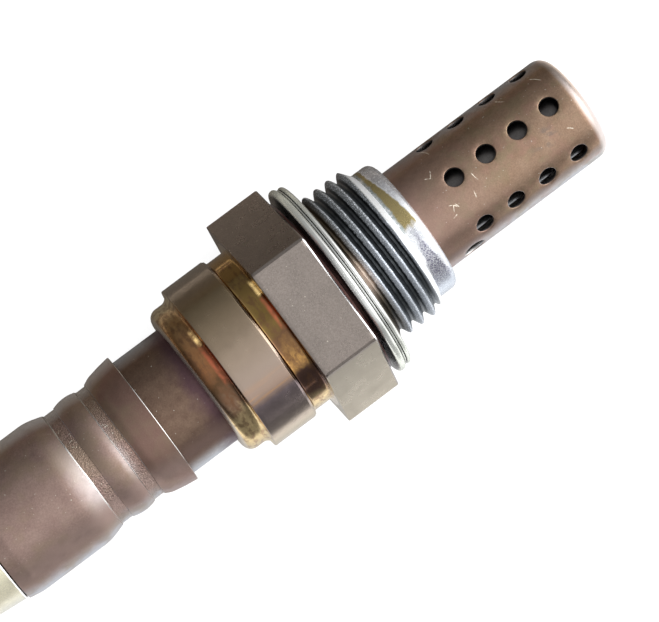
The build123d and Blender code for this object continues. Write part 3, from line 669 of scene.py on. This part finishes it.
def make_housing():
    """The turned shell with its hexagon and screw thread, closed by plain bores."""
    corner_half = 0.81  # half the turn that a cut-off corner of the hexagon takes up
    ends = [30 + 60 * k + side for k in range(6) for side in (-corner_half, corner_half)]
    degrees = np.array(sorted(set(np.arange(0, 360, 1.5).tolist() + ends)))
    turn = np.radians(degrees)
    columns = len(turn)
    flat = np.abs((degrees + 30) % 60 - 30)
    hexagon = np.minimum(HEX_FLAT_R / np.cos(np.radians(flat)), HEX_CORNER_R)

    line, kinds = [], []

    def add(points, kind):
        for point in points:
            line.append(point)
            kinds.append(kind)

    collar = rounded((COLLAR_X, COVER_R), (COLLAR_X, COLLAR_R, 0.85), (COLLAR_REAR_X + 0.1, COLLAR_R))
    add(spaced(collar, 0.4), "collar")
    thread_x = np.arange(COLLAR_REAR_X, -0.001, -0.05)
    add([(x, THREAD_R) for x in thread_x], "thread")
    add([(-0.05, RELIEF_R), (-1.0, RELIEF_R), (WASHER_FACE_X, RELIEF_R)], "washer_face")
    add([(WASHER_FACE_X, 9.6), (WASHER_FACE_X, WASHER_FACE_R - 0.1), (WASHER_FACE_X - 0.06, WASHER_FACE_R),
         (HEX_FRONT_X + 0.02, WASHER_FACE_R)], "washer_face")
    insets = {HEX_FRONT_X: 0.12, HEX_FRONT_X - 0.06: 0.06, HEX_FRONT_X - HEX_BEVEL: 0.0,
              HEX_REAR_X + 0.09: 0.0, HEX_REAR_X + 0.03: 0.03, HEX_REAR_X: 0.09}
    front_1, front_2, front_3, *rear = insets
    add([(x, HEX_FLAT_R) for x in (front_1, front_2)], "hex_edge")
    middle = np.linspace(HEX_FRONT_X - 0.5, HEX_REAR_X + 0.4, 12)
    add([(x, HEX_FLAT_R) for x in (front_3, *middle, *rear)], "hex")
    neck = rounded((HEX_REAR_X - 0.001, NECK_R + 1.0), (HEX_REAR_X - 0.001, NECK_R, 0.4),
                   (BAND_FRONT_X, NECK_R, 0.3), (BAND_FRONT_X - 0.001, NECK_R + 0.35))
    add(spaced(neck, 0.4), "neck")
    band = rounded((BAND_FRONT_X - 0.02, NECK_R + 0.36), (BAND_FRONT_X - 0.25, BAND_R, 0.1),
                   (BAND_REAR_X, BAND_R, 0.08), (BAND_REAR_X - 0.001, ROLLED_R + 0.92), steps=4)
    add(spaced(band, 0.4), "band")
    rolled = rounded((BAND_REAR_X - 0.002, ROLLED_R + 0.9), (BAND_REAR_X - 0.002, ROLLED_R, 0.8),
                     (HOUSING_REAR_X, ROLLED_R, 1.15), (HOUSING_REAR_X, TUBE_R), steps=10)
    add(spaced(rolled, 0.3), "rolled")
    add([(ROLLED_LIP_X, TUBE_R), (ROLLED_LIP_X, REAR_BORE_R), (REAR_BORE_X, REAR_BORE_R),
         (REAR_BORE_X, COLLAR_BORE_R), (LEDGE_REAR_X, COLLAR_BORE_R), (LEDGE_X, GAS_BORE_R),
         (FLANGE_SEAT_X, GAS_BORE_R), (FLANGE_SEAT_X, FLANGE_R), (FLANGE_X, FLANGE_R),
         (FLANGE_X, COVER_R)], "bore")

    x = np.repeat(np.array([point[0] for point in line])[:, None], columns, axis=1)
    r = np.repeat(np.array([point[1] for point in line])[:, None], columns, axis=1)
    kinds = np.array(kinds)
    screw = kinds == "thread"
    r[screw] = thread_height(x[screw], turn[None, :])
    for row in np.flatnonzero((kinds == "hex") | (kinds == "hex_edge")):
        r[row] = hexagon - insets.get(line[row][0], 0.0)
    names = ["collar", "thread", "washer_face", "hex", "hex_edge", "neck", "band", "rolled", "bore"]
    shares = np.repeat([names.index(kind) for kind in kinds], columns)
    piece("housing_shell", place(x, r, turn), grid_faces(len(line), columns, True),
          [paints[name].material for name in names], ["housing"], shares, sharp=28)


make_housing()


# Gasket

def make_gasket():
    """The folded crush ring: a wide rear fold, a thin middle ring and a front fold, a little askew."""
    line = spaced(rounded((0.2, 9.5), (0.2, 11.34, 0.28), (-0.3, 11.42, 0.2), (-0.32, 11.0), (-0.38, 11.0),
                          (-0.39, 11.3, 0.06), (-0.57, 11.3, 0.06), (-0.58, 11.0), (-0.64, 11.0),
                          (-0.65, 11.66, 0.3), (-1.44, 11.6, 0.38), (-1.44, 8.8, 0.2), (-0.1, 8.8),
                          (-0.08, 9.05), (0.2, 9.12), (0.2, 9.5), steps=7), 0.4)[:-1]

    def wobble(x, r, turn):
        lean = 0.03 * np.sin(turn - 0.25) + 0.015 * np.sin(3 * turn + 1.0)
        rise = np.clip((r - 8.7) / 2.9, 0, 1)
        return x - lean * rise, r + 0.015 * np.sin(2 * turn + 0.5)

    turned("folded_gasket", line, 360, paints["gasket"].material, ["seal_gasket"],
           wobble=wobble, sharp=50)


make_gasket()


# Perforated cover

def make_cover():
    """The pressed cup with its punched holes, each with rounded edges through the sheet."""
    columns = 120
    seam = math.radians(ROW_TURN + 180 / HOLES_PER_RING)  # between two rows of holes
    front, rear = COVER_END_X - (COVER_ROUNDING + 0.1), 9.0
    # From a hole's edge to its loop of points, to the sheet's own points, and to the middle of a tile that is
    # kept. A sliver inside a small hole's loop, with its middle at 0.0806, is kept as well.
    loop_gap, sheet_gap, tile_gap = 0.09, 0.26, 0.08
    holes = [(RING_X + RING_PITCH * ring, ROW_TURN + 360 / HOLES_PER_RING * k, HOLE_R)
             for ring in range(RINGS) for k in range(HOLES_PER_RING)]
    holes += [(DRAIN_X, ROW_TURN + 90 + 180 * k, DRAIN_R) for k in range(2)]
    holes = [(x, ((math.radians(turn) - seam) % (2 * math.pi)) * COVER_R, radius)
             for x, turn, radius in holes]

    def clear_of_holes(x, s, gap):
        """Whether a place on the flat sheet is over the gap from the edge of every hole."""
        return all(math.hypot(x - hole_x, s - hole_s) > radius + gap for hole_x, hole_s, radius in holes)

    around = np.linspace(0, 2 * math.pi * COVER_R, columns + 1)
    rows = np.linspace(rear, front, 62)
    flat = [(x, s) for x in rows for s in around
            if x in (rows[0], rows[-1]) or s in (around[0], around[-1]) or clear_of_holes(x, s, sheet_gap)]
    edges, loops = [], []
    for hole_x, hole_s, radius in holes:
        first, reach = len(flat), radius + loop_gap
        flat += [(hole_x + reach * math.cos(angle), hole_s + reach * math.sin(angle))
                 for angle in turns(HOLE_SIDES)]
        loops.append(list(range(first, first + HOLE_SIDES)))
        edges += [(first + k, first + (k + 1) % HOLE_SIDES) for k in range(HOLE_SIDES)]
    corners, _, tiles, sources, *_ = delaunay_2d_cdt([Vector(point) for point in flat], edges, [], 0, 1e-6)
    whereis = {source: index for index, group in enumerate(sources) for source in group}
    solid = []
    for tile in tiles:
        x, s = (sum(corners[k][axis] for k in tile) / len(tile) for axis in (0, 1))
        if clear_of_holes(x, s, tile_gap):
            solid.append(tuple(tile))
    sheet_x = np.array([corner[0] for corner in corners])
    sheet_s = np.array([corner[1] for corner in corners])

    def dent(x, s):
        """How far punching drew the sheet in."""
        depth = np.zeros_like(x)
        for hole_x, hole_s, radius in holes:
            away = np.hypot(x - hole_x, s - hole_s) - radius
            depth = np.maximum(depth, DENT_DEPTH * np.clip(1 - away / DENT_WIDTH, 0, 1) ** 2)
        return depth

    def wrap(x, s, depth):
        """Places on the rolled-up sheet, from those on the flat one."""
        return place(x, COVER_R - depth - dent(x, s), s / COVER_R + seam)

    points, faces = [wrap(sheet_x, sheet_s, 0.0), wrap(sheet_x, sheet_s, COVER_SHEET)], []
    faces += solid + [tuple(k + len(sheet_x) for k in face[::-1]) for face in solid]
    total = 2 * len(sheet_x)
    for (hole_x, hole_s, radius), loop in zip(holes, loops):
        rings = [np.array([whereis[k] for k in loop])]
        for grow, depth in ((0.035, 0.015), (0.0, 0.07), (0.0, 0.33), (0.03, 0.385)):
            angle, reach = turns(HOLE_SIDES), radius + grow
            points.append(wrap(hole_x + reach * np.cos(angle), hole_s + reach * np.sin(angle), depth))
            rings.append(np.arange(total, total + HOLE_SIDES))
            total += HOLE_SIDES
        rings.append(rings[0] + len(sheet_x))
        for one, two in zip(rings, rings[1:]):
            faces += [(one[k], one[(k + 1) % HOLE_SIDES], two[(k + 1) % HOLE_SIDES], two[k])
                      for k in range(HOLE_SIDES)]
    turn = seam + turns(columns)
    bore, bottom = COVER_R - COVER_SHEET, COVER_END_X - COVER_SHEET
    tip = rounded((front, COVER_R), (COVER_END_X, COVER_R, COVER_ROUNDING), (COVER_END_X, 0.0), steps=10)
    tip_in = rounded((front, bore), (bottom, bore, COVER_ROUNDING - COVER_SHEET), (bottom, 0.0), steps=8)
    flange = np.array([(rear, COVER_R), (FLANGE_X, COVER_R), (FLANGE_X, FLANGE_R), (FLANGE_REAR_X, FLANGE_R),
                       (FLANGE_REAR_X, bore), (rear, bore)])
    for line in (spaced(tip, 0.6), spaced(tip_in, 0.6), flange):
        points.append(place(line[:, 0][:, None], line[:, 1][:, None], turn[None, :]))
        faces += [tuple(k + total for k in face) for face in grid_faces(len(line), columns, False)]
        total += len(line) * columns
    piece("perforated_cover", np.concatenate(points), faces, [paints["cover"].material],
          ["outer_protection_cover"], sharp=40)


make_cover()


# Rear tubes

def make_air_tube():
    """The dark tube: flange under the rolled end, shoulder and neck."""
    bore, neck_bore = TUBE_R - AIR_SHEET, AIR_NECK_R - AIR_SHEET
    outer = rounded((ROLLED_LIP_X, AIR_FLANGE_R), (ROLLED_LIP_X, TUBE_R), (AIR_SHOULDER_X, TUBE_R, 0.8),
                    (AIR_NECK_X, AIR_NECK_R, 0.8), (AIR_NECK_END_X, AIR_NECK_R))
    flange_x = ROLLED_LIP_X + AIR_SHEET
    inner = rounded((AIR_NECK_END_X, neck_bore), (AIR_NECK_X + 0.17, neck_bore, 1.3),
                    (AIR_SHOULDER_X + 0.17, bore, 0.3), (flange_x, bore), (flange_x, AIR_FLANGE_R))
    turned("air_tube", np.concatenate((spaced(outer, 0.6), spaced(inner, 0.6))), 128,
           paints["air_tube"].material, ["air_side_tube"])


make_air_tube()


def make_outer_sleeve():
    """The brown sleeve: flared lip, two rolled grooves with crisp edges and rough floors, and barrel."""
    lip, end = -24.97, -46.2
    runs = (
        ("edge", [(lip, 7.56), (lip, 7.8), (-25.03, 7.84)]),
        ("sleeve", rounded((-25.04, 7.86), (-26.5, 7.66, 6), (-27.9, 7.38, 2.5), (-28.6, 7.04))),
        ("edge", [(-28.62, 7.03), (-28.68, 6.95)]),
        ("groove", [(-28.7, 6.88), (-29.2, 6.87), (-29.82, 6.88)]),
        ("edge", [(-29.84, 6.91), (-29.94, 7.0)]),
        ("sleeve", rounded((-29.96, 7.02), (-31.3, 7.37, 4), (-32.65, 6.97), steps=14)),
        ("groove", [(-32.69, 6.88), (-33.3, 6.87), (-33.93, 6.88)]),
        ("edge", [(-33.95, 6.92), (-34.07, 7.01)]),
        ("sleeve", rounded((-34.09, 7.03), (-35.95, 7.6, 6), (-44.6, 7.58, 3.0), (-46.16, 7.31), steps=14)),
        ("edge", [(end, 7.28), (end, 7.0)]),
    )
    runs = [(kind, spaced(np.array(points, float), 0.25)) for kind, points in runs]
    outer = np.concatenate([points for _, points in runs])
    kinds = [kind for kind, points in runs for _ in points]
    inner = rounded((end, 6.99), (-44.6, 7.27, 3.0), (-36.3, 7.28, 2.2), (-34.0, 6.63, 0.4),
                    (-28.75, 6.63, 0.3), (-27.8, 7.08, 0.4), (lip, 7.5))
    line = np.concatenate((outer, inner))
    kinds += ["sleeve"] * len(inner)
    names = ["sleeve", "groove", "edge"]

    def wobble(x, r, turn):
        floor = np.exp(-((x + 29.27) / 0.45) ** 4) + np.exp(-((x + 33.33) / 0.5) ** 4)
        chatter = np.sin(23 * turn + 3 * x) + np.sin(41 * turn - 5 * x) + np.sin(67 * turn + 9 * x)
        wave = 0.02 * np.sin(5 * turn + 0.7) + 0.012 * np.sin(11 * turn)
        edges = np.exp(-((x + 28.65) / 0.25) ** 2) + np.exp(-((x + 34.02) / 0.25) ** 2)
        return x + wave * edges, r + 0.006 * floor * chatter

    turned("outer_sleeve_shell", line, 240, [paints[name].material for name in names],
           ["outer_sleeve"], wobble=wobble, shares=[names.index(kind) for kind in kinds], sharp=24)


make_outer_sleeve()


def make_rear_sleeve():
    """The pale sleeve: spigot in the barrel, gap, rim with a painted highlight, and the crimp round the bush.
    """
    end, front = REAR_SLEEVE_END_X, REAR_SLEEVE_FRONT_X
    spigot = rounded((front, 7.24), (-44.6, 7.24, 3.0), (-46.08, 6.97), (-46.1, 6.64), (-46.33, 6.64),
                     (-46.36, 7.08))
    outer = rounded((-46.4, 7.12), (-46.56, 7.12), (-49.8, 6.83, 1.0), (-51.8, 6.22, 1.0),
                    (-53.4, 6.22, 1.0), (-55.4, 6.82, 1.0), (end, 6.82))
    inner = rounded((end, 6.47), (-55.4, 6.47, 1.0), (-53.4, 5.87, 1.0), (-51.8, 5.87, 1.0),
                    (-49.8, 6.47, 1.0), (-47.4, 6.6), (-46.9, 6.42), (-46.4, 6.4, 1.0), (-44.8, 6.89, 1.0),
                    (front, 6.89))
    line = np.concatenate((spigot, outer, inner))
    turned("rear_sleeve_shell", line, 128, paints["rear"].material, ["rear_sleeve"])


make_rear_sleeve()


# Table, light and camera

def world_light():
    """White for the camera; for all else a room that is brightest above, on the -Y side and ahead."""
    brightness = 2.4
    world = bpy.data.worlds.new("studio")
    bpy.context.scene.world = world
    room = Nodes(world)
    way = room.add("SeparateXYZ", Vector=room.add("TexCoord").outputs["Generated"]).outputs
    angle = room.count("ARCTAN2", room.count("MULTIPLY", way[1], -1.0), way[2])
    angle = room.count("MULTIPLY", angle, 180 / math.pi)
    across = room.levels(angle, (-180, 0.1), (-110, 0.1), (-93, 0.13), (-64, 0.27), (-45, 0.42), (-22, 0.56),
                         (-17, 0.58), (-13, 0.74), (0, 0.8), (20, 0.94), (50, 1.0), (56, 0.85), (63, 0.3),
                         (75, 0.21), (84, 0.27), (98, 0.27), (112, 0.2), (180, 0.2))
    along = room.levels(way[0], (-1, 0.12), (-0.6, 0.27), (-0.3, 0.32), (0, 0.345), (0.13, 0.38),
                        (0.36, 0.72), (0.6, 0.95), (1, 0.85))
    ahead = room.count("MULTIPLY", room.ramp(way[0], 0.5, 0.85), room.ramp(way[1], 0.6, 0.2))
    glow = room.count("MULTIPLY_ADD", ahead, 0.5, room.count("MULTIPLY", across, along))
    glow = room.count("MULTIPLY", glow, brightness)
    studio = room.add("Background", Color=(0.97, 0.985, 1.0, 1.0), Strength=glow)
    white = room.add("Background", Color=(1.0, 1.0, 1.0, 1.0))
    share = room.add("LightPath").outputs["Is Camera Ray"]
    mixed = room.add("MixShader", Fac=share)
    room.feed(mixed.inputs[1], studio.outputs[0])
    room.feed(mixed.inputs[2], white.outputs[0])
    room.add("OutputWorld", Surface=mixed.outputs[0])


def softbox(name, at, size, power):
    """An area light at a place in millimetres that points at the sensor."""
    lamp = bpy.data.lights.new(name, "AREA")
    lamp.shape, lamp.size, lamp.size_y = "RECTANGLE", size[0] * MM, size[1] * MM
    lamp.energy = power
    shape = bpy.data.objects.new(name, lamp)
    bpy.context.scene.collection.objects.link(shape)
    shape.location = Vector(at) * MM
    shape.rotation_euler = (-Vector(at)).to_track_quat("-Z", "Y").to_euler()
    shape.visible_glossy = False


world_light()
softbox("soft_overhead", (0, -40, 420), (400, 400), 6.0)


def make_table_white():
    """White paper with a faint shadow. Its glow is painted light that reflections see: lit on the -Y side and
    in two lines on +Y, warmer on +Y and white ahead of the tip.
    """
    paper = Paint("table_white", metallic=0.0, roughness=0.9)
    rays = paper.add("LightPath").outputs
    # Painted light: the glow that reflections see, by place on the table.
    lit = paper.levels(
        paper.y, (-90, 0.16), (-46, 0.2), (-41, 0.24), (-36, 0.85), (-32, 1.0), (-27, 1.0), (-20, 0.66),
        (-12, 0.6), (-2, 0.25), (4, 0.13), (27.6, 0.12), (28.3, 0.6), (29.6, 0.6), (30.4, 0.12), (34.2, 0.12),
        (35, 0.5), (36.4, 0.5), (37.5, 0.1), (60, 0.1))
    front = paper.count("MULTIPLY", paper.ramp(paper.x, 31, 36), paper.ramp(paper.y, 16, 6))
    lit = paper.blend(front, lit, (1.0, 1.0, 1.0, 1.0))
    warm = paper.blend(paper.ramp(paper.y, -6, 4), (1.0, 1.0, 1.0, 1.0), (1.0, 0.87, 0.74, 1.0))
    lit = paper.blend(1.0, lit, warm, "MULTIPLY")
    seen = paper.blend(rays["Is Camera Ray"], lit, (1.0, 1.0, 1.0, 1.0))
    power = paper.ramp(rays["Is Camera Ray"], 0.0, 1.0, 1.05, 1.0)
    fleck = paper.ramp(paper.grain(0.8, 2), 0.0, 1.0, 0.98, 1.0)
    paper.set(Base_Color=paper.blend(1.0, seen, fleck, "MULTIPLY"), Specular_IOR_Level=0.0)
    glow = paper.add("Emission", Color=seen, Strength=power)
    direct = paper.count("MAXIMUM", rays["Is Camera Ray"], rays["Is Glossy Ray"])
    share = paper.count("MULTIPLY", direct, 0.85)
    mixed = paper.add("MixShader", Fac=share)
    paper.feed(mixed.inputs[1], paper.shader.outputs[0])
    paper.feed(mixed.inputs[2], glow.outputs[0])
    out = [node for node in paper.tree.nodes if node.type == "OUTPUT_MATERIAL"][0]
    paper.feed(out.inputs[0], mixed.outputs[0])
    return paper.material


def make_table():
    """The table, at the height of the gasket's lowest point."""
    half = 3  # metres
    floor_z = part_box("seal_gasket")[0].z
    mesh = bpy.data.meshes.new("table")
    corners = [(x, y, floor_z) for x, y in ((-half, -half), (half, -half), (half, half), (-half, half))]
    mesh.from_pydata(corners, [], [(0, 1, 2, 3)])
    mesh.materials.append(make_table_white())
    table = bpy.data.objects.new("table", mesh)
    bpy.context.scene.collection.objects.link(table)


make_table()


def make_camera():
    """A long lens, nearly overhead, turned so that the sensor lies across the picture."""
    lean, roll, tip = (math.radians(angle) for angle in (4.5, 36.8, 4.85))
    distance, focal_pixels, picture_width, sensor_width = 330, 3161, 659, 36.0
    ahead, aside = 5.157, -2.093  # from the hexagon's rear to the middle of the picture
    toward = Vector((0, math.sin(lean), math.cos(lean)))
    across = Vector((0, math.cos(lean), -math.sin(lean)))
    axis = Vector((1, 0, 0))
    right = math.cos(tip) * axis + math.sin(tip) * toward
    forward = math.sin(tip) * axis - math.cos(tip) * toward
    x_axis = math.cos(roll) * right - math.sin(roll) * across
    y_axis = math.sin(roll) * right + math.cos(roll) * across
    spot = Vector((HEX_REAR_X, 0, 0)) + ahead * right + aside * across - distance * forward
    lens = bpy.data.cameras.new("camera")
    lens.sensor_width, lens.lens = sensor_width, focal_pixels / picture_width * sensor_width
    lens.clip_start, lens.clip_end = 0.01, 10.0
    shape = bpy.data.objects.new("camera", lens)
    bpy.context.scene.collection.objects.link(shape)
    turn = Matrix((x_axis, y_axis, -forward)).transposed()
    shape.matrix_world = Matrix.Translation(spot * MM) @ turn.to_4x4()
    bpy.context.scene.camera = shape


make_camera()
scene = bpy.context.scene
scene.render.engine = "CYCLES"
scene.cycles.samples = 128
scene.view_settings.view_transform = "Standard"
